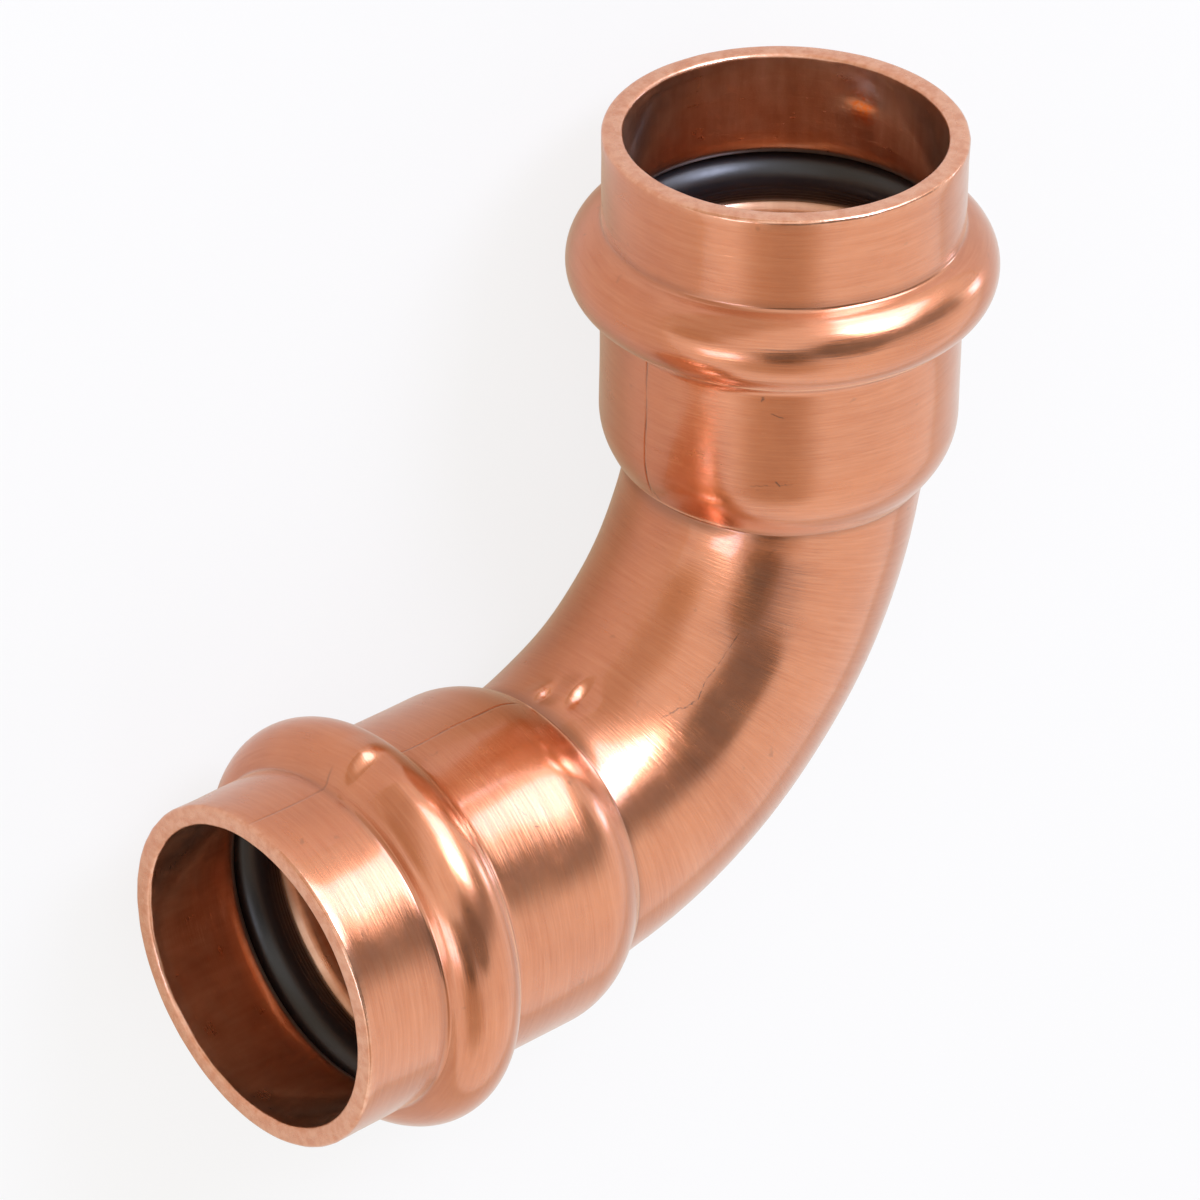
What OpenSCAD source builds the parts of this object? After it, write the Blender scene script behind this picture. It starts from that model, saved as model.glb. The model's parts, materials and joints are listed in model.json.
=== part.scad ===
// Press elbow, 90 degrees: a bent copper tube with a press socket at each end
// and a rubber sealing ring in the bead of each socket.
// The elbow lies as it comes to rest, on its two beads and the underside of its bend.
// One socket points to -X, the other to +Y, and both lean up a little from the bend.

/* [Pipe] */
// Outside diameter of the pipe that goes into each socket
pipe_d = 22.2; // [12:0.1:35]
// Gap all round between the pipe and the socket
pipe_gap = 0.1; // [0.05:0.01:0.3]
// Wall of the copper tube
wall = 1.5; // [0.8:0.05:2]

/* [Bend] */
// Radius of the bend, at the middle of the tube
bend_radius = 26.4; // [20:0.1:30]
// How far the shoulder draws in from the socket to the bent tube
shoulder_drop = 2.1; // [1.6:0.1:3]
// Round of the shoulder, in section
shoulder_round = 6; // [3:0.1:7]
// Slope of the shoulder, away from the socket's axis
shoulder_angle = 39; // [32:1:50]

/* [Socket] */
// From the corner where the two axes cross to each rim
leg_length = 48.5; // [46:0.1:70]
// Depth of the straight bore, from the rim to the shoulder
socket_depth = 21.5; // [16:0.1:23]
// Bevel on both edges of the rim
rim_bevel = 0.3; // [0.1:0.05:0.6]

/* [Bead] */
// From the rim to the middle of the bead
bead_setback = 10; // [6:0.1:14]
// How far the bead stands out from the socket
bead_height = 2.45; // [1.8:0.05:3]
// Round of the bead's crest, in section
bead_round = 3.1; // [2.4:0.05:3.6]
// Round of the bead's foot towards the rim
rim_foot = 0.4; // [0.2:0.05:1]
// Round of the bead's foot towards the bend
bend_foot = 1; // [0.4:0.05:1.6]

/* [Seal] */
// Gap between the sealing ring and its groove
seal_gap = 0.05; // [0.02:0.01:0.15]
// How far the sealing ring stands into the bore
seal_stand = 0.22; // [0.1:0.01:0.3]
// Round of the sealing ring's crown, in section
seal_crown = 3; // [2.4:0.1:6]

/* [Hidden] */
$fn = 96;

bore_r = pipe_d / 2 + pipe_gap;
socket_r = bore_r + wall;
bend_r = socket_r - shoulder_drop;
crest_r = socket_r + bead_height - bead_round;
stop_at = leg_length - socket_depth;
bead_at = leg_length - bead_setback;

// Places in a leg's section: distance from the leg's axis, then distance from the corner
crest_centre = [crest_r, bead_at];
rim_foot_centre = [socket_r + rim_foot, bead_at + foot_reach(rim_foot)];
bend_foot_centre = [socket_r + bend_foot, bead_at - foot_reach(bend_foot)];
shoulder_centre = [socket_r - shoulder_round, stop_at];

// How far along the axis a foot's round lies from the crest that it is tangent to
function foot_reach(round) = sqrt(pow(bead_round + round, 2) - pow(socket_r + round - crest_r, 2));
function polar(r, angle) = [r * cos(angle), r * sin(angle)];

// At rest both beads and the underside of the bend touch the floor, with the corner tilted down.
// The sine of that tilt is the root of a s^2 + 2 b s + c = 0.
bead_out = bead_at / sqrt(2);
bend_out = (sqrt(2) - 1) * bend_radius;
tilt_a = pow(bead_out - bend_out, 2) + pow(crest_r, 2) / 2;
tilt_b = (bead_out - bend_out) * (bend_r - bead_round);
tilt_c = pow(bend_r - bead_round, 2) - pow(crest_r, 2);
tilt_sine = (sqrt(tilt_b * tilt_b - tilt_a * tilt_c) - tilt_b) / tilt_a;
rest_tilt = asin(tilt_sine);
corner_height = bend_r - bend_out * tilt_sine;

// The reach of the tilted elbow along and across a leg, which puts the origin in the middle below it
along = (1 + cos(rest_tilt)) / 2;
across = (1 - cos(rest_tilt)) / 2;
rim_reach = leg_length * along + (socket_r - rim_bevel) * sqrt(1 - along * along);
bead_reach = bead_at * across + crest_r * sqrt(1 - across * across) + bead_round;
middle = (rim_reach - bead_reach) / 2;

// The bead's two concave feet, filled in to the axis
module bead_feet(inset) {
    difference() {
        polygon([[0, rim_foot_centre[1]], rim_foot_centre, crest_centre, bend_foot_centre,
            [0, bend_foot_centre[1]]]);
        translate(rim_foot_centre)
        circle(rim_foot + inset);
        translate(bend_foot_centre)
        circle(bend_foot + inset);
    }
}

// The bead's round crest
module bead_crest(inset) {
    translate(crest_centre)
    circle(bead_round - inset);
}

// The shoulder: a round that turns into a cone, which runs on into the bent tube
module shoulder_section(inset) {
    round = shoulder_round - inset;
    tangent = shoulder_centre + polar(round, -shoulder_angle);
    intersection() {
        translate(shoulder_centre)
        circle(round);
        translate([0, stop_at - socket_r])
        square(2 * socket_r);
    }
    polygon([[0, stop_at], shoulder_centre, tangent, [0, tangent[1] - tangent[0] / tan(shoulder_angle)]]);
}

// Half section of a leg, drawn in from the outside by inset; flare is how far the rim's edge turns out.
// The tube runs straight from the end of the bend to the shoulder, where the shoulder leaves any of it bare.
module leg_section(inset, flare) {
    r = socket_r - inset;
    if (bend_radius < stop_at)
        translate([0, bend_radius])
        square([bend_r - inset, stop_at - bend_radius]);
    polygon([[0, stop_at], [r, stop_at], [r, bend_foot_centre[1]], [0, bend_foot_centre[1]]]);
    polygon([[0, rim_foot_centre[1]], [r, rim_foot_centre[1]], [r, leg_length - rim_bevel],
        [r + flare, leg_length], [0, leg_length]]);
    bead_feet(inset);
    bead_crest(inset);
    shoulder_section(inset);
}

module along_left() {
    rotate([0, -90, 0])
    children();
}

module along_rear() {
    rotate([-90, 0, 0])
    children();
}

// The bent tube, drawn in by inset
module bend(inset) {
    translate([-bend_radius, bend_radius, 0])
    rotate(-90)
    rotate_extrude(angle = 90)
    translate([bend_radius, 0])
    circle(bend_r - inset);
}

module elbow_form(inset, flare) {
    along_left()
    rotate_extrude()
    leg_section(inset, flare);
    along_rear()
    rotate_extrude()
    leg_section(inset, flare);
    bend(inset);
}

// What lies within the crown of the sealing ring, a little inside the bore
module within_crown() {
    intersection() {
        translate([bore_r - seal_stand + seal_crown, bead_at])
        circle(seal_crown);
        children();
    }
}

// The sealing ring fills the groove, a gap clear of its wall
module seal_ring() {
    rotate_extrude()
    within_crown()
    bead_feet(wall + seal_gap);
    rotate_extrude()
    within_crown()
    bead_crest(wall + seal_gap);
}

// Turns the elbow about the line of its beads until it rests, and centres it over the origin
module at_rest() {
    translate([middle, -middle, corner_height])
    rotate(rest_tilt, [1, 1, 0])
    children();
}

module elbow_body() {
    color("#d08a62")
    at_rest()
    difference() {
        elbow_form(0, -rim_bevel);
        elbow_form(wall, rim_bevel);
    }
}

module left_seal_ring() {
    color("#1c1c1e")
    at_rest()
    along_left()
    seal_ring();
}

module rear_seal_ring() {
    color("#1c1c1e")
    at_rest()
    along_rear()
    seal_ring();
}

elbow_body();
left_seal_ring();
rear_seal_ring();
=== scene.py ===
"""A copper press elbow: brushed copper body with rolled beads, rubber sealing rings, and a plain studio."""
import json
import math

import bpy
import numpy as np
from mathutils import Matrix, Vector


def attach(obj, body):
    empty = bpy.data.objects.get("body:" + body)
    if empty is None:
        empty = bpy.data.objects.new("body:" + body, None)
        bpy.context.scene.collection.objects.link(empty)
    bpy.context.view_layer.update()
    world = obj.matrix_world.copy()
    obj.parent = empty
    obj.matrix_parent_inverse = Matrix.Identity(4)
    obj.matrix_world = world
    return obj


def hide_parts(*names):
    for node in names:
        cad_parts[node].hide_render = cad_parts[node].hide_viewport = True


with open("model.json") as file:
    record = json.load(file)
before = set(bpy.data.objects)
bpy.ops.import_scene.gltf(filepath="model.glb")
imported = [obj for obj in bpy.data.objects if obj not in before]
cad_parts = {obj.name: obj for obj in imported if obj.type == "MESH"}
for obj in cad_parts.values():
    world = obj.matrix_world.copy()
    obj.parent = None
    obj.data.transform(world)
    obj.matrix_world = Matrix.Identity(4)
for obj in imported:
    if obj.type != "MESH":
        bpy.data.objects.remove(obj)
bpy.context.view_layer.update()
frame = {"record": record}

# A millimetre in the scene's metres
MM = 0.001

# Sizes of the elbow in millimetres; the bore and the depth of the sockets come from the frame's mounts
WALL = 1.5
BEND_RADIUS = 26.4
SHOULDER_DROP = 2.1
SHOULDER_ROUND = 6.0
SHOULDER_ANGLE = math.radians(39.0)
RIM_ROUND = 0.3
BEAD_SETBACK = 10.0
BEAD_HEIGHT = 2.45
BEAD_ROUND = 3.1
RIM_FOOT = 0.4
BEND_FOOT = 1.0
SEAL_GAP = 0.05
SEAL_STAND = 0.22

# Round of the sealing ring's crown, and how much deeper than the bead's middle the crown lies
SEAL_CROWN = 2.0
SEAL_LEAN = 0.35

# Places of the two sockets, from the frame
mounts = {m["name"]: m for m in frame["record"]["mounts"]}
left_socket = mounts["left_socket"]
rear_socket = mounts["rear_socket"]
BORE_R = left_socket["dims"]["r_mm"]
BORE_LENGTH = left_socket["dims"]["length_mm"]
SOCKET_DEPTH = BORE_LENGTH + RIM_ROUND
SOCKET_R = BORE_R + WALL
BEND_R = SOCKET_R - SHOULDER_DROP
CREST_R = SOCKET_R + BEAD_HEIGHT - BEAD_ROUND


def unit(v):
    return np.array(v, float) / np.linalg.norm(v)


LEFT_AXIS = unit(left_socket["axis"])
REAR_AXIS = unit(rear_socket["axis"])
LEFT_MIDDLE = np.array(left_socket["pos_m"]) / MM
REAR_MIDDLE = np.array(rear_socket["pos_m"]) / MM
PLANE_NORMAL = unit(np.cross(-LEFT_AXIS, REAR_AXIS))

# The axes cross at the corner: both sockets lie equally far from it
MIDDLE_REACH = np.linalg.norm(LEFT_MIDDLE - REAR_MIDDLE) / np.linalg.norm(LEFT_AXIS - REAR_AXIS)
CORNER = (LEFT_MIDDLE - LEFT_AXIS * MIDDLE_REACH + REAR_MIDDLE - REAR_AXIS * MIDDLE_REACH) / 2
LEG_LENGTH = MIDDLE_REACH + BORE_LENGTH / 2 + RIM_ROUND
STRAIGHT = LEG_LENGTH - BEND_RADIUS
PATH = 2 * STRAIGHT + BEND_RADIUS * math.pi / 2


# Section of a leg: points (distance from the rim, distance from the leg's axis)

# Points on each round where the fineness is 1, and on the rim's edge
RIM_FOOT_POINTS = 4
CREST_POINTS = 14
BEND_FOOT_POINTS = 5
SHOULDER_POINTS = 7
RIM_POINTS = 6


def arc(centre, radius, start, end, count):
    """Points on a round of the section; angles are from the outward direction, towards the bend."""
    angle = np.linspace(start, end, count)
    return np.stack([centre[0] + radius * np.sin(angle), centre[1] + radius * np.cos(angle)], 1)


def line(start, end, step):
    """Points on a straight stretch of the section, without its ends."""
    start, end = np.array(start), np.array(end)
    count = max(int(np.linalg.norm(end - start) / step), 1)
    share = np.linspace(0, 1, count + 1)[1:-1, None]
    return start + (end - start) * share


def foot_reach(foot):
    """How far along the axis a foot's round lies from the crest that it is tangent to."""
    return math.sqrt((BEAD_ROUND + foot) ** 2 - (SOCKET_R + foot - CREST_R) ** 2)


def bead(inset, fineness):
    """The bead from its foot at the rim to its foot at the bend, drawn in from the outside by inset."""
    rim_reach, bend_reach = foot_reach(RIM_FOOT), foot_reach(BEND_FOOT)
    rim_lean = math.atan2(rim_reach, SOCKET_R + RIM_FOOT - CREST_R)
    bend_lean = math.atan2(bend_reach, SOCKET_R + BEND_FOOT - CREST_R)
    rim_centre = (BEAD_SETBACK - rim_reach, SOCKET_R + RIM_FOOT)
    crest_centre = (BEAD_SETBACK, CREST_R)
    bend_centre = (BEAD_SETBACK + bend_reach, SOCKET_R + BEND_FOOT)
    first = arc(rim_centre, RIM_FOOT + inset, math.pi, math.pi - rim_lean, RIM_FOOT_POINTS * fineness)
    crest = arc(crest_centre, BEAD_ROUND - inset, -rim_lean, bend_lean, CREST_POINTS * fineness)
    last = arc(bend_centre, BEND_FOOT + inset, bend_lean - math.pi, -math.pi, BEND_FOOT_POINTS * fineness)
    return np.concatenate([first, crest[1:-1], last])


def rim_edge(inset):
    """The round edge of the rim, outside where inset is 0 and inside otherwise."""
    outside = inset == 0
    edge_r = SOCKET_R - inset + (-RIM_ROUND if outside else RIM_ROUND)
    return arc((RIM_ROUND, edge_r), RIM_ROUND, -math.pi / 2, 0 if outside else -math.pi, RIM_POINTS)


def leg_section(inset, fineness, step):
    """A face of the wall from the rim to the end of the shoulder's round."""
    edge = rim_edge(inset)
    swell = bead(inset, fineness)
    centre = (SOCKET_DEPTH, SOCKET_R - SHOULDER_ROUND)
    neck = arc(centre, SHOULDER_ROUND - inset, 0, SHOULDER_ANGLE, SHOULDER_POINTS * fineness)
    first = line(edge[-1], swell[0], step)
    second = line(swell[-1], neck[0], step)
    return np.concatenate([edge, first, swell, second, neck])


# The bend, and the crease where it comes out of the shoulder's cone

# The most that the bend has turned at the crease, and how unevenly the crease runs, in radians
CREASE_TURN_LIMIT = 0.4
CREASE_WANDER = 0.0025
BISECTIONS = 40

# Rings on the cone, as shares of the way from the shoulder's round to the crease, and the first rings
# on the bend, as shares of the way from the crease to the middle
CONE_SHARES = np.array([0.3, 0.55, 0.75, 0.88, 0.95])
CREASE_SHARES = np.array([0.0, 0.005, 0.015, 0.035])


def bend_in_leg(turn, angles, tube_r):
    """A point of the bent tube as its leg sees it: distance from the rim, radius, angle round the leg."""
    reach = BEND_RADIUS - tube_r * np.cos(angles)
    place = STRAIGHT + reach * np.sin(turn)
    to_throat = BEND_RADIUS - reach * np.cos(turn)
    to_side = tube_r * np.sin(angles)
    return place, np.hypot(to_throat, to_side), np.arctan2(to_side, to_throat)


def crease_turn(angles, tube_r, cone_start):
    """How far the bend has turned where it comes out of the cone, for each angle round the tube."""
    low = np.zeros_like(angles)
    high = np.full_like(angles, CREASE_TURN_LIMIT)
    for halving in range(BISECTIONS):
        turn = (low + high) / 2
        place, radius, leg_angle = bend_in_leg(turn, angles, tube_r)
        clear = radius > cone_start[1] - (place - cone_start[0]) * math.tan(SHOULDER_ANGLE)
        high = np.where(clear, turn, high)
        low = np.where(clear, low, turn)
    return high


def bend_shares(count):
    """Shares of the way from the crease to the middle of the bend, close together at the crease."""
    even = np.linspace(CREASE_SHARES[-1], 1, count + 1)[1:]
    return np.concatenate([CREASE_SHARES, even])


# Uneven fields over the tube: seed, how many waves are added up, the most lobes round the tube,
# and the pitch along it in millimetres, which varies by the spread
LINE_RIPPLE = (11, 5, 1, 6.0)
WAVE_RIPPLE = (12, 9, 4, 14.0)
CREASE_RIPPLE = (21, 8, 12, 7.0)
RIM_RIPPLE = (5, 14, 24, 1.5)
RIPPLE_SPREAD = (0.5, 1.5)


def ripple(around, along, seed, count, most_lobes, pitch):
    """A smooth uneven field over the tube, of about unit height."""
    rng = np.random.default_rng(seed)
    field = np.zeros(np.broadcast(around, along).shape)
    for turn in range(count):
        lobes = rng.integers(1, most_lobes + 1)
        wave = rng.uniform(*RIPPLE_SPREAD) / pitch
        phase = rng.uniform(0, 2 * math.pi, 2)
        field += np.sin(lobes * around + phase[0]) * np.sin(2 * math.pi * wave * along + phase[1])
    return field / math.sqrt(count)


def smooth_window(value, start, end, blend):
    """1 between start and end, falling to 0 over blend on either side."""
    rise = np.clip((value - start) / blend + 1, 0, 1)
    fall = np.clip((end - value) / blend + 1, 0, 1)
    return rise * fall


def bell(value, width):
    return np.exp(-(value / width) ** 2)


def smoothstep(share):
    share = np.clip(share, 0, 1)
    return share * share * (3 - 2 * share)


def from_nearer_rim(along):
    """Distance along the tube from the nearer of its two rims."""
    return np.minimum(along, PATH - along)


# Marks of the making, in millimetres

# The parting line on the throat side: on the sockets, and more faintly on the band at the left rim
PART_LINE_DEPTH = 0.05
PART_LINE_WIDTH = 0.09
PART_LINE_WANDER = 0.006
PART_LINE_SOCKET = (BEAD_SETBACK + 2.6, SOCKET_DEPTH + 2.2)
PART_LINE_SOCKET_BLEND = 0.8
PART_LINE_BAND = (0.5, BEAD_SETBACK - 2.8)
PART_LINE_BAND_BLEND = 0.5
PART_LINE_BAND_SHARE = 0.6

# Slight waves, which lie inside the plain form by twice their depth and leave the rims and creases free
WAVE_DEPTH = 0.03
WAVE_SINK = 2
WAVE_FROM_RIM = 2.0
WAVE_RIM_BLEND = 2.0
WAVE_FROM_CREASE = 1.5
WAVE_CREASE_BLEND = 1.2

# The fold in the throat, whose spread round the tube is in radians
FOLD_DEPTH = 0.2
FOLD_WIDTH = 0.4
FOLD_SPREAD = 0.6

# Lumps on the cut rims; those inside are turned away from those outside, in radians
RIM_LUMPS = 0.03
RIM_LUMP_BLEND = 0.15
INSIDE_TURN = 1.0

# Dimples beside the throat and on the left bead: degrees from the throat, millimetres along the tube from
# the left rim, half width of the step in their middle and radius in millimetres, and the step's lean
# round the tube and along it
DIMPLES = (
    (8.0, 33.0, 0.7, 2.8, -0.58, -0.09),
    (-3.2, 30.5, 0.6, 2.2, -0.66, -0.05),
    (6.4, 8.8, 0.7, 2.8, -0.72, -0.05),
)
SMOOTHSTEP_SLOPE = 1.5


def dimples(around, along):
    """How far the outside stands out in the dimples: a soft step in each, spread out to nothing."""
    height = 0
    for degrees, place, step, radius, lean_around, lean_along in DIMPLES:
        x = (around - math.radians(degrees)) * SOCKET_R
        y = along - place
        lean = math.hypot(lean_around, lean_along)
        rise = 2 * smoothstep(((x * lean_around + y * lean_along) / (lean * step) + 1) / 2) - 1
        share = 1 - smoothstep(np.hypot(x, y) / radius)
        height = height + lean * step / SMOOTHSTEP_SLOPE * rise * share
    return height


def part_line(around, along):
    """Strength of the parting line, from 0 to 1."""
    wander = PART_LINE_WANDER * ripple(0 * around, along, *LINE_RIPPLE)
    socket = smooth_window(from_nearer_rim(along), *PART_LINE_SOCKET, PART_LINE_SOCKET_BLEND)
    band = PART_LINE_BAND_SHARE * smooth_window(along, *PART_LINE_BAND, PART_LINE_BAND_BLEND)
    return bell((around - wander) * SOCKET_R, PART_LINE_WIDTH) * np.maximum(socket, band)


def waves(around, along, to_crease):
    """How far the outside stands out in its waves."""
    off_rim = smooth_window(from_nearer_rim(along), WAVE_FROM_RIM, PATH, WAVE_RIM_BLEND)
    off_crease = smooth_window(np.abs(to_crease), WAVE_FROM_CREASE, PATH, WAVE_CREASE_BLEND)
    height = WAVE_DEPTH * (ripple(around, along, *WAVE_RIPPLE) - WAVE_SINK)
    return height * off_rim * off_crease


def rim_lumps(around, along):
    """How far the skin stands out in the lumps on the cut rims."""
    on_rim = smooth_window(from_nearer_rim(along), 0.0, RIM_ROUND, RIM_LUMP_BLEND)
    return -RIM_LUMPS * on_rim * np.abs(ripple(around, along, *RIM_RIPPLE))


def outer_stand(around, along, to_crease):
    """How far the outside stands out of its plain form."""
    groove = -PART_LINE_DEPTH * part_line(around, along)
    fold = -FOLD_DEPTH * bell(around, FOLD_SPREAD) * bell(to_crease, FOLD_WIDTH)
    marks = groove + waves(around, along, to_crease) + fold + dimples(around, along)
    return marks + rim_lumps(around, along)


def inner_stand(around, along, to_crease):
    """How far the inside stands out of its plain form."""
    return rim_lumps(around + INSIDE_TURN, along)


# Meshes

# Angles where the columns round the tube change their spacing, and the columns on each stretch:
# closest on the parting line, close by the dimples
COLUMN_STOPS = (-0.06, 0.06, 0.26, 2 * math.pi - 0.16, 2 * math.pi - 0.06)
COLUMN_COUNTS = (40, 16, 192, 8)

# Grids of the two faces of the wall: fineness of the rounds, step on straight stretches in millimetres,
# and rings on half the bend
OUTSIDE_GRID = (2, 0.55, 17)
INSIDE_GRID = (1, 0.9, 10)


def around_angles():
    """Angles round the tube, from the throat."""
    stretches = zip(COLUMN_STOPS, COLUMN_STOPS[1:], COLUMN_COUNTS)
    parts = [np.linspace(start, end, count, endpoint=False) for start, end, count in stretches]
    return (np.concatenate(parts) + math.pi) % (2 * math.pi) - math.pi


def half_face(inset, fineness, step, bend_rings, angles):
    """Half a face of the wall, from the rim to the middle of the bend, as rings of plain values."""
    section = leg_section(inset, fineness, step)
    tube_r = BEND_R - inset
    turn = crease_turn(angles, tube_r, section[-1])
    turn = turn + CREASE_WANDER * ripple(angles, 0 * angles + 1, *CREASE_RIPPLE)
    place, radius, leg_angle = bend_in_leg(turn, angles, tube_r)
    cone_place, cone_r = section[-1]
    share = CONE_SHARES[:, None]
    level = np.ones_like(angles)
    return {
        "places": np.concatenate([section[:, :1] * level, cone_place + share * (place - cone_place)]),
        "radii": np.concatenate([section[:, 1:] * level, cone_r + share * (radius - cone_r)]),
        "leg_angle": leg_angle,
        "crease": place,
        "turns": turn + bend_shares(bend_rings)[:, None] * (math.pi / 4 - turn),
        "tube_r": tube_r,
    }


def half_points(half, angles, axis, throat, from_rear, stand_of):
    """Points of half a face, with distances along the tube and to the crease, from the rim to the middle."""
    turns = half["turns"]
    leg_gap = half["places"] - half["crease"]
    bend_gap = (BEND_RADIUS - half["tube_r"] * np.cos(angles)) * (turns - turns[0])
    to_crease = np.concatenate([leg_gap, bend_gap])
    along = np.concatenate([half["places"], STRAIGHT + BEND_RADIUS * turns])
    along = PATH - along if from_rear else along
    stand = stand_of(angles[None, :], along, to_crease)
    legs = len(half["places"])
    place, radius, angle = bend_in_leg(turns, angles, half["tube_r"] + stand[legs:])
    place = np.concatenate([half["places"], place])
    radius = np.concatenate([half["radii"] + stand[:legs], radius])
    angle = np.concatenate([half["leg_angle"] + 0 * leg_gap, angle])
    outward = np.cos(angle)[..., None] * throat + np.sin(angle)[..., None] * PLANE_NORMAL
    points = CORNER + axis * (LEG_LENGTH - place)[..., None] + outward * radius[..., None]
    return points, along, to_crease


def whole_face(inset, fineness, step, bend_rings, angles, stand_of):
    """A face of the wall from the left rim to the rear rim."""
    half = half_face(inset, fineness, step, bend_rings, angles)
    left = half_points(half, angles, LEFT_AXIS, REAR_AXIS, False, stand_of)
    rear = half_points(half, angles, REAR_AXIS, LEFT_AXIS, True, stand_of)
    return [np.concatenate([a, b[-2::-1]]) for a, b in zip(left, rear)]


def ring_faces(rings, count):
    """Quads between rings that close both round the tube and through the bore."""
    ring = np.arange(rings)[:, None]
    step = np.arange(count)[None, :]
    next_ring = (ring + 1) % rings
    next_step = (step + 1) % count
    near = [ring * count + step, ring * count + next_step]
    far = [next_ring * count + next_step, next_ring * count + step]
    return np.stack(near + far, -1).reshape(-1, 4)


def make_mesh(name, points, faces):
    """A smooth object of points in millimetres."""
    mesh = bpy.data.meshes.new(name)
    mesh.from_pydata((points.reshape(-1, 3) * MM).tolist(), [], faces.tolist())
    mesh.polygons.foreach_set("use_smooth", [True] * len(mesh.polygons))
    mesh.validate()
    piece = bpy.data.objects.new(name, mesh)
    bpy.context.scene.collection.objects.link(piece)
    return piece


def add_field(piece, name, values):
    """A number per vertex that the material reads."""
    field = piece.data.attributes.new(name, "FLOAT", "POINT")
    field.data.foreach_set("value", np.ravel(values).astype(np.float32))


def add_vector(piece, name, values):
    """A vector per vertex that the material reads."""
    field = piece.data.attributes.new(name, "FLOAT_VECTOR", "POINT")
    field.data.foreach_set("vector", np.ravel(values).astype(np.float32))


def tube_coordinates(angles, along):
    """Per vertex: cosine and sine of the angle round the tube, and the distance along it."""
    cosine = np.broadcast_to(np.cos(angles), along.shape)
    sine = np.broadcast_to(np.sin(angles), along.shape)
    return np.stack([cosine, sine, along], -1)


# Where the band at the rim meets the bead's foot
FOOT_PLACE = BEAD_SETBACK - foot_reach(RIM_FOOT)

# Painted shade in the creases, darkest and widest in the throat, whose spread round the tube is in radians
CREASE_WIDTH = 0.28
CREASE_SHADE = 0.55
CREASE_THROAT_SPREAD = 0.7
CREASE_THROAT_WIDENING = 1.6

# Painted shade at the foot of the beads
FOOT_WIDTH = 0.3
FOOT_SHADE = 0.5

# The cut face of the rim, and a painted highlight on the lip that the groove has inside
RIM_FACE = (0.0, 0.12)
RIM_FACE_BLEND = 0.25
LIP_PLACE = FOOT_PLACE + 0.35
LIP_WIDTH = 0.3


def crease_shade(angles, from_rim, to_crease):
    """Painted shade in the creases and at the foot of the beads, from 0 to 1."""
    in_throat = bell(angles, CREASE_THROAT_SPREAD)
    crease = bell(to_crease, CREASE_WIDTH * (1 + CREASE_THROAT_WIDENING * in_throat))
    crease = crease * (CREASE_SHADE + (1 - CREASE_SHADE) * in_throat)
    foot = FOOT_SHADE * bell(from_rim - FOOT_PLACE, FOOT_WIDTH)
    return np.maximum(crease, foot)


def build_body():
    """The bent tube with its sockets, beads and shoulders, outside and inside in one closed skin."""
    angles = around_angles()
    outside = whole_face(0, *OUTSIDE_GRID, angles, outer_stand)
    inside = whole_face(WALL, *INSIDE_GRID, angles, inner_stand)
    points, along, to_crease = [np.concatenate([a, b[::-1]]) for a, b in zip(outside, inside)]
    rings = len(points)
    is_inside = (np.arange(rings) >= len(outside[0]))[:, None] + 0 * along
    is_outside = 1 - is_inside
    from_rim = from_nearer_rim(along)
    piece = make_mesh("brushed_elbow_body", points, ring_faces(rings, len(angles)))
    add_vector(piece, "tube", tube_coordinates(angles, along))
    add_field(piece, "inside", is_inside)
    add_field(piece, "rim", smooth_window(from_rim, *RIM_FACE, RIM_FACE_BLEND))
    # painted shade in the creases and at the bead feet, on the outside only
    add_field(piece, "crease", crease_shade(angles, from_rim, to_crease) * is_outside)
    add_field(piece, "line", part_line(angles[None, :], along) * is_outside)
    # where the painted highlight on the groove's lip lies, inside only
    add_field(piece, "lip_highlight", bell(from_rim - LIP_PLACE, LIP_WIDTH) * is_inside)
    return piece


# Fine moulded lines on the deep side of a sealing ring's crown: places from the bead's middle,
# depth and width
MOULD_LINES = (0.45, 0.8, 1.1, 1.4)
MOULD_LINE_DEPTH = 0.03
MOULD_LINE_WIDTH = 0.06

# Grid of a sealing ring: fineness of its rounds in the groove, points on its crown, and columns round it
SEAL_FINENESS = 3
CROWN_POINTS = 120
SEAL_COLUMNS = 240


def seal_section():
    """The sealing ring's section: the groove's form, a gap clear of it, and a crown towards the pipe."""
    groove = bead(WALL + SEAL_GAP, SEAL_FINENESS)
    crown_centre = np.array([BEAD_SETBACK + SEAL_LEAN, BORE_R - SEAL_STAND + SEAL_CROWN])
    within = np.linalg.norm(groove - crown_centre, axis=1) < SEAL_CROWN
    groove = groove[within]
    start = groove[-1] - crown_centre
    end = groove[0] - crown_centre
    first = math.atan2(start[0], start[1])
    last = math.atan2(end[0], end[1])
    crown = arc(crown_centre, SEAL_CROWN, first, last + 2 * math.pi, CROWN_POINTS)[1:-1]
    for place in MOULD_LINES:
        crown[:, 1] += MOULD_LINE_DEPTH * bell(crown[:, 0] - BEAD_SETBACK - place, MOULD_LINE_WIDTH)
    return np.concatenate([groove, crown])


def build_seal(name, axis, throat, from_rear):
    """One sealing ring, in the bead of a socket."""
    section = seal_section()
    section = section[::-1] if from_rear else section
    angles = np.linspace(0, 2 * math.pi, SEAL_COLUMNS, endpoint=False)
    outward = np.cos(angles)[:, None] * throat + np.sin(angles)[:, None] * PLANE_NORMAL
    middle = CORNER + np.outer(LEG_LENGTH - section[:, 0], axis)
    points = middle[:, None, :] + section[:, 1, None, None] * outward[None, :, :]
    piece = make_mesh(name, points, ring_faces(len(section), len(angles)))
    along = section[:, :1] + 0 * angles
    add_vector(piece, "tube", tube_coordinates(angles, along))
    return piece


# Materials

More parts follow.
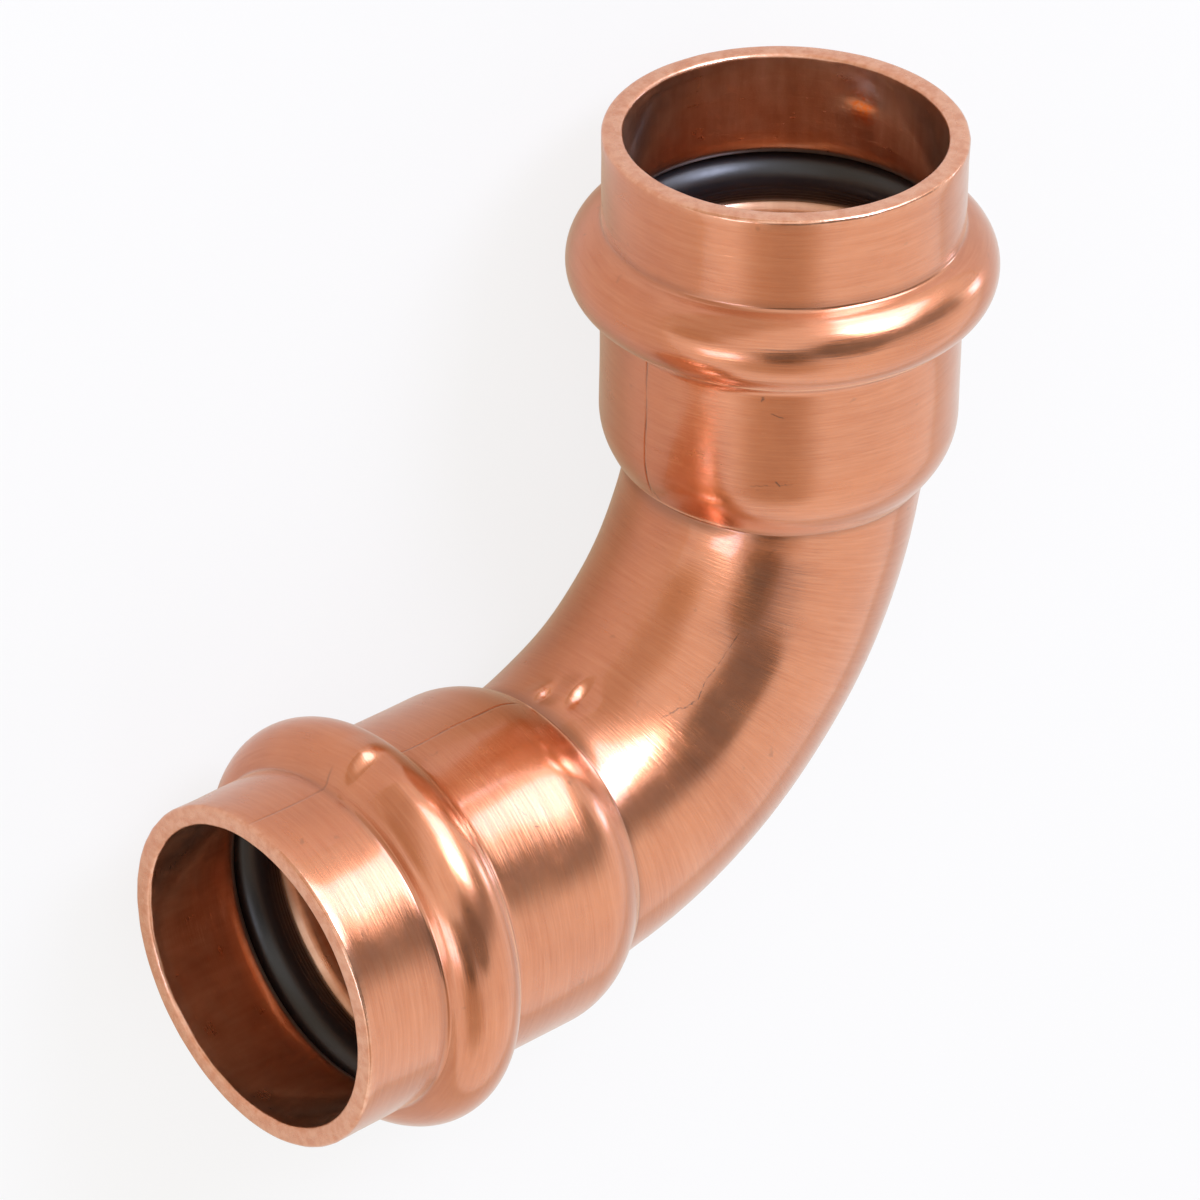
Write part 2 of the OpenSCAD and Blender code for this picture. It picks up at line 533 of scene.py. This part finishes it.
class Nodes:
    """A short way to write the nodes of a material or of the room."""

    def __init__(self, owner):
        owner.use_nodes = True
        self.tree = owner.node_tree

    def named(self, name):
        return self.tree.nodes[name]

    def add(self, kind, **settings):
        node = self.tree.nodes.new(kind)
        for key, value in settings.items():
            setattr(node, key, value)
        return node

    def link(self, source, target):
        self.tree.links.new(source, target)

    def set(self, socket, value):
        if isinstance(value, bpy.types.NodeSocket):
            self.link(value, socket)
        else:
            socket.default_value = value

    def vector_field(self, name):
        return self.add("ShaderNodeAttribute", attribute_name=name).outputs["Vector"]

    def field(self, name):
        return self.add("ShaderNodeAttribute", attribute_name=name).outputs["Fac"]

    def object_place(self):
        return self.add("ShaderNodeTexCoord").outputs["Object"]

    def math(self, operation, first, second):
        node = self.add("ShaderNodeMath", operation=operation)
        for socket, value in zip(node.inputs, (first, second)):
            self.set(socket, value)
        return node.outputs[0]

    def vector(self, operation, first, second):
        node = self.add("ShaderNodeVectorMath", operation=operation)
        self.set(node.inputs[0], first)
        self.set(node.inputs["Scale" if operation == "SCALE" else 1], second)
        return node.outputs["Value" if operation in ("DOT_PRODUCT", "DISTANCE") else "Vector"]

    def noise(self, vector, scale, detail, roughness):
        node = self.add("ShaderNodeTexNoise")
        self.link(vector, node.inputs["Vector"])
        node.inputs["Scale"].default_value = scale
        node.inputs["Detail"].default_value = detail
        node.inputs["Roughness"].default_value = roughness
        return node.outputs["Fac"]

    def stretched_noise(self, vector, stretch, detail, roughness):
        """Noise with a scale of its own along each axis."""
        return self.noise(self.vector("MULTIPLY", vector, stretch), 1.0, detail, roughness)

    def span(self, value, low, high, start=0.0, end=1.0, kind="LINEAR"):
        """Value from start to end turned into low to high, held at both ends."""
        node = self.add("ShaderNodeMapRange", clamp=True, interpolation_type=kind)
        self.set(node.inputs["Value"], value)
        node.inputs["From Min"].default_value = start
        node.inputs["From Max"].default_value = end
        node.inputs["To Min"].default_value = low
        node.inputs["To Max"].default_value = high
        return node.outputs["Result"]

    def mix(self, share, first, second):
        node = self.add("ShaderNodeMix", data_type="RGBA")
        self.set(node.inputs["Factor"], share)
        colours = [s for s in node.inputs if s.type == "RGBA"]
        self.set(colours[0], first)
        self.set(colours[1], second)
        return [s for s in node.outputs if s.type == "RGBA"][0]

    def bump(self, height, distance, strength, under=None):
        node = self.add("ShaderNodeBump")
        self.set(node.inputs["Strength"], strength)
        node.inputs["Distance"].default_value = distance
        self.link(height, node.inputs["Height"])
        if under is not None:
            self.link(under, node.inputs["Normal"])
        return node.outputs["Normal"]


WHITE = (1, 1, 1, 1)
COPPER = (0.675, 0.218, 0.078, 1)
COPPER_DEEP = (0.575, 0.168, 0.054, 1)
COPPER_PALE = (0.80, 0.36, 0.19, 1)
# brown of the specks, also used for the painted shade in the creases and at the bead feet
SPECK_AND_SHADE_BROWN = (0.34, 0.12, 0.05, 1)
DIRT_AND_SHADE_DARK = (0.17, 0.06, 0.03, 1)
RIM_PALE = (0.86, 0.44, 0.27, 1)
INSIDE_DARK = (0.70, 0.34, 0.19, 1)
INSIDE_LIGHT = (0.87, 0.48, 0.29, 1)
# painted highlight on the groove's lip
LIP_PAINTED_HIGHLIGHT = (1.0, 0.50, 0.24, 1)
# painted orange glint in the bore
PAINTED_GLINT = (1.0, 0.27, 0.06, 1)
# painted reflection: the paler colour that copper takes in glossy rays
PAINTED_REFLECTED_COPPER = (0.83, 0.475, 0.285, 1)

# Noises: scale, or a scale for each of the tube's three coordinates, then detail and roughness
FINE_LINES = ((3.5, 3.5, 8.0), 3.0, 0.65)
COARSE_LINES = ((1.8, 1.8, 2.0), 3.0, 0.6)
INSIDE_STREAKS = ((9.0, 9.0, 0.15), 3.0, 0.6)
INSIDE_PATCHES = (260.0, 3.0, 0.6)
BLOTCHES = (150.0, 4.0, 0.6)
SPECKS = (800.0, 2.0, 0.6)
# noise that breaks up the dirt and painted shade along the parting line
LINE_DIRT_AND_SHADE = (500.0, 2.0, 0.5)
MOTTLE = (420.0, 4.0, 0.6)
CUT_MARKS = (1300.0, 3.0, 0.6)
GLINT_BREAKS = (1.5, 3.0, 0.5)
SCRATCH_WOBBLE = (2.2, 4.0, 0.75)
SCRATCH_BREAKS = (1.6, 2.0, 0.5)

# What the noises are turned into: value at the start and at the end, then the noise's own start and end
LINE_SPAN = (0.0, 1.0, 0.55, 1.05)
BLOTCH_SPAN = (0.0, 1.0, 0.35, 0.66)
SPECK_SPAN = (0.0, 0.45, 0.70, 0.78)
LINE_DIRT_AND_SHADE_SPAN = (0.25, 0.8, 0.35, 0.65)
INSIDE_SPAN = (0.0, 1.0, 0.36, 0.64)
CUT_SPAN = (0.4, 1.0, 0.35, 0.6)
GLINT_SPAN = (0.3, 1.0, 0.4, 0.55)
SCRATCH_SPAN = (0.2, 1.0, 0.42, 0.55)

# Roughness between the turning lines and on them, what the mottle takes or adds, and what the inside adds
LINE_ROUGHNESS = (0.23, 0.16)
MOTTLE_ROUGHNESS = (-0.04, 0.08, 0.3, 0.7)
INSIDE_ROUGHNESS = 0.12

# A clear coat over the copper
COAT_ROUGHNESS = 0.14
COAT_IOR = 1.75

# How strongly each mark shows
COARSE_SHARE = 0.6
LINE_SHARE = 0.4
CREASE_SHADE_SHARE = 0.9
SCRATCH_SHARE = 0.8
STREAK_SHARE = 0.5
PATCH_SHARE = 0.5
LIP_HIGHLIGHT_SHARE = 0.9

# Relief of the finish: height in metres, and strength
FINE_BUMP = (0.00003, 0.4)
COARSE_BUMP = (0.00006, 0.22)
MOTTLE_BUMP = (0.00005, 0.12)
CUT_BUMP = (0.0001, 0.4)

# Scratches on the outside: half width in millimetres, then the route as degrees from the throat
# and millimetres along the tube from the left rim
SCRATCHES = (
    (0.08, ((39, 36.6), (42, 38.5), (44, 39.1), (45.6, 40.4), (44.8, 41.4), (44, 42.6), (44.8, 43.6))),
    (0.04, ((44.8, 43.6), (45.6, 46.3), (46.4, 48.0))),
    (0.07, ((36, 28.8), (43, 32.4))),
    (0.06, ((38.4, 28.9), (43, 31.1))),
    (0.09, ((0.3, 63.4), (0.6, 62.0), (2.6, 61.2), (2.2, 60.4), (4.4, 60.0))),
    (0.10, ((42.4, 71.6), (43.0, 71.9))),
    (0.06, ((45.6, 70.6), (49.6, 70.3))),
    (0.10, ((47.4, 65.2), (48.6, 64.9))),
    (0.03, ((39.2, 64.7), (52.8, 65.0))),
    (0.12, ((47.2, 56.3), (49.0, 56.8))),
    (0.05, ((36.8, 17.5), (41.6, 17.9))),
    (0.09, ((40.6, 15.4), (41.0, 15.6))),
    (0.06, ((46.2, 18.0), (47.0, 18.5))),
)
SCRATCH_JITTER = 0.5
SCRATCH_CORE = 0.3
NOISE_MIDDLE = 0.5

# A dent in the rear bore that catches the light, with a painted orange glint on it: degrees and millimetres
# as for the scratches, half width of the step in its middle and radius in millimetres, the step's lean along
# the tube, and the shares of the radius between which the painted glint fades
GLINT_PLACE = (-162.5, 82.4)
GLINT_STEP = 0.8
GLINT_RADIUS = 3.0
GLINT_LEAN = -0.42
GLINT_FADE = (0.2 * GLINT_RADIUS, 0.55 * GLINT_RADIUS)

# The direction along the tube, on its skin laid flat
ALONG_TUBE = Vector((0, 1, 0))


def unrolled(n, tube):
    """The tube's skin laid flat, in millimetres round it and along it."""
    split = n.add("ShaderNodeSeparateXYZ")
    n.link(tube, split.inputs[0])
    angle = n.math("ARCTAN2", split.outputs["Y"], split.outputs["X"])
    flat = n.add("ShaderNodeCombineXYZ")
    n.link(n.math("MULTIPLY", angle, SOCKET_R), flat.inputs["X"])
    n.link(split.outputs["Z"], flat.inputs["Y"])
    return flat.outputs[0]


def on_flat(degrees, along):
    """A place on the skin laid flat."""
    return Vector((math.radians(degrees) * SOCKET_R, along, 0))


def glint_height(n, flat):
    """Millimetres that the bore rises in its dent: a soft step in the middle, spread out to nothing."""
    middle = on_flat(*GLINT_PLACE)
    top = GLINT_LEAN * GLINT_STEP / SMOOTHSTEP_SLOPE
    across = n.vector("DOT_PRODUCT", n.vector("SUBTRACT", flat, middle), ALONG_TUBE)
    rise = n.span(across, -top, top, -GLINT_STEP, GLINT_STEP, "SMOOTHSTEP")
    share = n.span(n.vector("DISTANCE", flat, middle), 1.0, 0.0, 0.0, GLINT_RADIUS, "SMOOTHSTEP")
    return n.math("MULTIPLY", rise, share)


def painted_glint_mask(n, flat):
    """Painted glint: 1 in the middle of the bore's dent, broken up."""
    gap = n.vector("DISTANCE", flat, on_flat(*GLINT_PLACE))
    broken = n.span(n.noise(flat, *GLINT_BREAKS), *GLINT_SPAN)
    return n.math("MULTIPLY", n.span(gap, 1.0, 0.0, *GLINT_FADE), broken)


def stroke_mask(n, place, start, end, half_width):
    """1 on a straight stroke from start to end, falling to 0 at its edges."""
    reach = end - start
    offset = n.vector("SUBTRACT", place, start)
    share = n.math("DIVIDE", n.vector("DOT_PRODUCT", offset, reach), reach.length_squared)
    foot = n.vector("SCALE", reach, n.span(share, 0.0, 1.0))
    return n.span(n.vector("DISTANCE", offset, foot), 1.0, 0.0, SCRATCH_CORE * half_width, half_width)


def scratch_mask(n, flat):
    """1 on the scratches, uneven and broken up."""
    wobble = n.math("SUBTRACT", n.noise(flat, *SCRATCH_WOBBLE), NOISE_MIDDLE)
    shift = n.add("ShaderNodeCombineXYZ")
    n.link(n.math("MULTIPLY", wobble, SCRATCH_JITTER), shift.inputs["X"])
    n.link(n.math("MULTIPLY", wobble, -SCRATCH_JITTER), shift.inputs["Y"])
    place = n.vector("ADD", flat, shift.outputs[0])
    mask = None
    for half_width, route in SCRATCHES:
        corners = [on_flat(*corner) for corner in route]
        for start, end in zip(corners, corners[1:]):
            stroke = stroke_mask(n, place, start, end, half_width)
            mask = stroke if mask is None else n.math("MAXIMUM", mask, stroke)
    broken = n.span(n.noise(flat, *SCRATCH_BREAKS), *SCRATCH_SPAN)
    return n.math("MULTIPLY", mask, broken)


def outside_colour(n, flat, place, lines):
    """Base colour of the copper's outside, with its lines, specks and scratches, painted shade in the
    creases and at the bead feet, and dirt with painted shade along the parting line.
    """
    blotches = n.span(n.noise(place, *BLOTCHES), *BLOTCH_SPAN)
    specks = n.span(n.noise(place, *SPECKS), *SPECK_SPAN)
    line_dirt_and_shade = n.span(n.noise(place, *LINE_DIRT_AND_SHADE), *LINE_DIRT_AND_SHADE_SPAN)
    colour = n.mix(blotches, COPPER_DEEP, COPPER)
    colour = n.mix(n.math("MULTIPLY", lines, LINE_SHARE), colour, COPPER_PALE)
    colour = n.mix(specks, colour, SPECK_AND_SHADE_BROWN)
    # painted shade: darker brown in the creases and at the bead feet
    colour = n.mix(n.math("MULTIPLY", n.field("crease"), CREASE_SHADE_SHARE), colour, SPECK_AND_SHADE_BROWN)
    # dark along the parting line: partly dirt in the seam, partly painted shade of its groove
    colour = n.mix(n.math("MULTIPLY", n.field("line"), line_dirt_and_shade), colour, DIRT_AND_SHADE_DARK)
    return n.mix(n.math("MULTIPLY", scratch_mask(n, flat), SCRATCH_SHARE), colour, DIRT_AND_SHADE_DARK)


def inside_colour(n, tube, flat, place):
    """Base colour of the bore: streaks along the tube, patches, a painted highlight on the groove's lip and
    a painted glint at the dent.
    """
    streaks = n.math("MULTIPLY", n.stretched_noise(tube, *INSIDE_STREAKS), STREAK_SHARE)
    patches = n.math("MULTIPLY", n.noise(place, *INSIDE_PATCHES), PATCH_SHARE)
    tone = n.span(n.math("ADD", streaks, patches), *INSIDE_SPAN)
    colour = n.mix(tone, INSIDE_DARK, INSIDE_LIGHT)
    # painted highlight: a lighter line on the groove's lip
    colour = n.mix(n.math("MULTIPLY", n.field("lip_highlight"), LIP_HIGHLIGHT_SHARE), colour, LIP_PAINTED_HIGHLIGHT)
    # painted glint: an orange highlight painted into the bore's colour at the dent
    return n.mix(painted_glint_mask(n, flat), colour, PAINTED_GLINT)


def copper_roughness(n, lines, mottle, inside):
    """Roughness of the copper: smoother on its lines, mottled, and duller inside."""
    gloss = n.math("ADD", n.span(lines, *LINE_ROUGHNESS), n.span(mottle, *MOTTLE_ROUGHNESS))
    return n.math("ADD", gloss, n.math("MULTIPLY", inside, INSIDE_ROUGHNESS))


def finish_normal(n, fine, coarse, mottle):
    """Relief of the copper's finish: turning lines that stop at the cut rim, and a slight mottle."""
    off_rim = n.math("SUBTRACT", 1.0, n.field("rim"))
    relief = None
    for noise, (height, strength) in ((fine, FINE_BUMP), (coarse, COARSE_BUMP)):
        relief = n.bump(noise, height, n.math("MULTIPLY", off_rim, strength), relief)
    return n.bump(mottle, *MOTTLE_BUMP, relief)


def copper_material():
    """Satin copper with turning lines round the tube, blotches, a pale cut rim, a streaky inside, and a
    painted paler colour where it is seen in reflections.
    """
    material = bpy.data.materials.new("brushed_copper")
    n = Nodes(material)
    shader = n.named("Principled BSDF")
    tube = n.vector_field("tube")
    place = n.object_place()
    flat = unrolled(n, tube)
    inside, rim = n.field("inside"), n.field("rim")
    fine = n.stretched_noise(tube, *FINE_LINES)
    coarse = n.stretched_noise(tube, *COARSE_LINES)
    mottle = n.noise(place, *MOTTLE)
    cut = n.noise(place, *CUT_MARKS)
    lines = n.span(n.math("ADD", fine, n.math("MULTIPLY", coarse, COARSE_SHARE)), *LINE_SPAN)
    colour = n.mix(inside, outside_colour(n, flat, place, lines), inside_colour(n, tube, flat, place))
    colour = n.mix(rim, colour, n.mix(n.span(cut, *CUT_SPAN), COPPER, RIM_PALE))
    # painted reflection: copper seen in other copper takes a paler colour
    in_reflection = n.add("ShaderNodeLightPath").outputs["Is Glossy Ray"]
    n.link(n.mix(in_reflection, colour, PAINTED_REFLECTED_COPPER), shader.inputs["Base Color"])
    n.link(copper_roughness(n, lines, mottle, inside), shader.inputs["Roughness"])
    shader.inputs["Metallic"].default_value = 1.0
    shader.inputs["Coat Weight"].default_value = 1.0
    shader.inputs["Coat Roughness"].default_value = COAT_ROUGHNESS
    shader.inputs["Coat IOR"].default_value = COAT_IOR
    relief = n.bump(glint_height(n, flat), MM, inside, finish_normal(n, fine, coarse, mottle))
    cut_height, cut_strength = CUT_BUMP
    relief = n.bump(cut, cut_height, n.math("MULTIPLY", rim, cut_strength), relief)
    n.link(relief, shader.inputs["Normal"])
    return material


RUBBER_DARK = (0.005, 0.005, 0.006, 1)
RUBBER_LIGHT = (0.014, 0.014, 0.016, 1)
RUBBER_SHINE = (1.0, 0.95, 0.89, 1)
RUBBER_SPECULAR = 0.7
RUBBER_RINGS = ((1.5, 1.5, 7.0), 2.0, 0.5)
RUBBER_SPECKS = (2500.0, 2.0, 0.6)
RUBBER_ROUGHNESS = (0.28, 0.4)
RUBBER_BUMP = (0.00002, 0.2)


def rubber_material():
    """Black moulded rubber with faint rings and a dull gloss."""
    material = bpy.data.materials.new("seal_rubber")
    n = Nodes(material)
    shader = n.named("Principled BSDF")
    rings = n.stretched_noise(n.vector_field("tube"), *RUBBER_RINGS)
    specks = n.noise(n.object_place(), *RUBBER_SPECKS)
    n.link(n.mix(rings, RUBBER_DARK, RUBBER_LIGHT), shader.inputs["Base Color"])
    n.link(n.span(specks, *RUBBER_ROUGHNESS), shader.inputs["Roughness"])
    shader.inputs["Specular IOR Level"].default_value = RUBBER_SPECULAR
    shader.inputs["Specular Tint"].default_value = RUBBER_SHINE
    n.link(n.bump(specks, *RUBBER_BUMP), shader.inputs["Normal"])
    return material


# Studio

FLOOR_HALF = 3.0
FLOOR_COLOUR = (0.75, 0.715, 0.68, 1)
FLOOR_ROUGHNESS = 0.9
FLOOR_WHITE_SHARE = 0.82
FLOOR_MIRROR_SHARE = 0.4
FLOOR_PAINTED_IN_REFLECTIONS = (0.78, 0.59, 0.36, 1)


def floor_material():
    """A white floor that keeps a light shadow, white to the camera, and painted warm and darker where it is
    seen in the metal's reflections.
    """
    material = bpy.data.materials.new("white_floor")
    n = Nodes(material)
    shader = n.named("Principled BSDF")
    shader.inputs["Base Color"].default_value = FLOOR_COLOUR
    shader.inputs["Roughness"].default_value = FLOOR_ROUGHNESS
    rays = n.add("ShaderNodeLightPath")
    mirrored = n.math("MAXIMUM", rays.outputs["Is Glossy Ray"], rays.outputs["Is Transmission Ray"])
    in_view = n.math("MULTIPLY", rays.outputs["Is Camera Ray"], FLOOR_WHITE_SHARE)
    in_metal = n.math("MULTIPLY", mirrored, FLOOR_MIRROR_SHARE)
    white = n.add("ShaderNodeEmission")
    # painted reflection: the floor glows warm and darker in mirrored rays, in place of bounce light and
    # shade
    n.link(n.mix(mirrored, WHITE, FLOOR_PAINTED_IN_REFLECTIONS), white.inputs["Color"])
    white.inputs["Strength"].default_value = 1.0
    mix = n.add("ShaderNodeMixShader")
    n.link(n.math("MAXIMUM", in_view, in_metal), mix.inputs["Fac"])
    n.link(shader.outputs[0], mix.inputs[1])
    n.link(white.outputs[0], mix.inputs[2])
    n.link(mix.outputs[0], n.named("Material Output").inputs["Surface"])
    return material


def build_floor():
    corners = [(-1, -1, 0), (1, -1, 0), (1, 1, 0), (-1, 1, 0)]
    mesh = bpy.data.meshes.new("floor")
    mesh.from_pydata([Vector(c) * FLOOR_HALF for c in corners], [], [(0, 1, 2, 3)])
    floor = bpy.data.objects.new("floor", mesh)
    bpy.context.scene.collection.objects.link(floor)
    floor.data.materials.append(floor_material())


def direction(azimuth, elevation):
    """Unit vector at degrees of azimuth from +X and of elevation above the floor."""
    a, e = math.radians(azimuth), math.radians(elevation)
    return Vector((math.cos(a) * math.cos(e), math.sin(a) * math.cos(e), math.sin(e)))


UP = Vector((0, 0, 1))
LAMP_AIM = Vector((0.0, 0.0, 0.014))
LAMP_DISTANCE = 0.8
LAMP_COLOUR = (0.60, 0.69, 1.0)

# Lamps: name, azimuth and elevation in degrees, width and height in metres, and power in watts
LAMPS = (
    ("key_lamp", 60, 36, 0.48, 0.56, 3.5),
    ("key_core", 62, 47, 0.24, 0.24, 2.8),
    ("side_lamp", 193, 27, 0.18, 0.26, 0.53),
    ("low_lamp", 6, 6, 0.14, 0.12, 0.24),
)


def add_lamp(name, azimuth, elevation, width, height, power):
    """A soft oblong lamp that faces the elbow."""
    lamp = bpy.data.lights.new(name, "AREA")
    lamp.shape = "RECTANGLE"
    lamp.size = width
    lamp.size_y = height
    lamp.energy = power
    lamp.color = LAMP_COLOUR
    holder = bpy.data.objects.new(name, lamp)
    back = direction(azimuth, elevation)
    holder.location = LAMP_AIM + back * LAMP_DISTANCE
    holder.rotation_mode = "QUATERNION"
    holder.rotation_quaternion = (-back).to_track_quat("-Z", "Y")
    bpy.context.scene.collection.objects.link(holder)


SKY_STRENGTH = 1.06

# The gap between the two lights overhead, in degrees: where it points, how far it reaches from
# straight up on its far and near side, where its shade ends and the light is full on the key lamp's side
# and on the other side, how soft its two ends are, and the light left in it
GAP_AZIMUTH = 15
GAP_REACH = (-42, 66)
GAP_KEY_EDGE = (11, 14)
GAP_OTHER_EDGE = (4, 24)
GAP_SOFT_END = 8
GAP_LIGHT = 0.34

# Dark cards in the room: azimuth, elevation, radius of full shade and of its soft edge in degrees,
# and the light left
DARK_CARDS = (
    (30, 86, 18, 24, 0.25),
    (-160, 58, 11, 18, 0.22),
)

# Dim warm cards, in the same way
DIM_COLOUR = (0.58, 0.46, 0.35, 1)
DIM_CARDS = (
    (105, 8, 12, 28, 0.25),
    (132, 15, 8, 26, 0.20),
    (156, 15, 7, 20, 0.0),
    (-130, 40, 7, 28, 0.10),
)


def card_light(n, place, azimuth, elevation, inner, outer, left):
    """Light left by one card, seen in a direction."""
    toward = n.vector("DOT_PRODUCT", place, direction(azimuth, elevation))
    edges = [math.cos(math.radians(outer)), math.cos(math.radians(inner))]
    return n.span(toward, 1.0, left, *edges, "SMOOTHSTEP")


def gap_light(n, place):
    """Light left by the dark gap overhead, seen in a direction."""
    across = n.vector("DOT_PRODUCT", place, direction(GAP_AZIMUTH + 90, 0))
    near = n.vector("DOT_PRODUCT", place, direction(GAP_AZIMUTH, 0))
    up = n.vector("DOT_PRODUCT", place, UP)
    lean = n.math("ARCTAN2", near, up)
    key_edge = [math.sin(math.radians(e)) for e in GAP_KEY_EDGE]
    other_edge = [math.sin(math.radians(-e)) for e in reversed(GAP_OTHER_EDGE)]
    far_end, near_end = [math.radians(reach) for reach in GAP_REACH]
    soft = math.radians(GAP_SOFT_END)
    dark = n.span(across, 1.0, 0.0, *key_edge, "SMOOTHSTEP")
    dark = n.math("MULTIPLY", dark, n.span(across, 0.0, 1.0, *other_edge, "SMOOTHSTEP"))
    dark = n.math("MULTIPLY", dark, n.span(lean, 0.0, 1.0, far_end - soft, far_end, "SMOOTHSTEP"))
    dark = n.math("MULTIPLY", dark, n.span(lean, 1.0, 0.0, near_end, near_end + soft, "SMOOTHSTEP"))
    return n.span(dark, 1.0, GAP_LIGHT)


def build_sky():
    """A pale room with a dark gap overhead, and a few dark cards and dim warm ones."""
    world = bpy.data.worlds.new("studio")
    bpy.context.scene.world = world
    n = Nodes(world)
    place = n.add("ShaderNodeTexCoord").outputs["Generated"]
    light = gap_light(n, place)
    for card in DARK_CARDS:
        light = n.math("MINIMUM", light, card_light(n, place, *card))
    warmth = 1.0
    for card in DIM_CARDS:
        warmth = n.math("MINIMUM", card_light(n, place, *card), warmth)
    colour = n.mix(warmth, DIM_COLOUR, WHITE)
    background = n.named("Background")
    n.link(n.vector("SCALE", colour, light), background.inputs["Color"])
    background.inputs["Strength"].default_value = SKY_STRENGTH


# The photograph's view, in degrees and millimetres
VIEW_AZIMUTH = 136.7
VIEW_ELEVATION = 54.2
VIEW_ROLL = 120.9
VIEW_DISTANCE = 460.0
VIEW_AIM = (0.96, -0.33, 14.1)
VIEW_LENS = 198.1
VIEW_SENSOR = 36.0

# How near and how far the camera sees, in metres
VIEW_NEAR = 0.01
VIEW_FAR = 20.0


def build_camera():
    data = bpy.data.cameras.new("photo_view")
    data.lens = VIEW_LENS
    data.sensor_width = VIEW_SENSOR
    data.clip_start = VIEW_NEAR
    data.clip_end = VIEW_FAR
    camera = bpy.data.objects.new("photo_view", data)
    back = direction(VIEW_AZIMUTH, VIEW_ELEVATION)
    level = UP.cross(back).normalized()
    turn = Matrix.Rotation(math.radians(VIEW_ROLL), 3, back)
    right = turn @ level
    up = back.cross(right)
    axes = Matrix((right, up, back)).transposed()
    place = (Vector(VIEW_AIM) + back * VIEW_DISTANCE) * MM
    camera.matrix_world = Matrix.Translation(place) @ axes.to_4x4()
    bpy.context.scene.collection.objects.link(camera)
    bpy.context.scene.camera = camera


def dress(piece, material, node):
    """Gives a piece its finish, and lets it stand for its solid."""
    piece.data.materials.append(material)
    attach(piece, "root")
    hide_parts(node)


def main():
    rubber = rubber_material()
    left_seal = build_seal("left_seal_with_lines", LEFT_AXIS, REAR_AXIS, False)
    rear_seal = build_seal("rear_seal_with_lines", REAR_AXIS, LEFT_AXIS, True)
    dress(build_body(), copper_material(), "elbow_body")
    dress(left_seal, rubber, "left_seal_ring")
    dress(rear_seal, rubber, "rear_seal_ring")
    build_floor()
    for lamp in LAMPS:
        add_lamp(*lamp)
    build_sky()
    build_camera()
    bpy.context.scene.view_settings.view_transform = "Standard"


main()
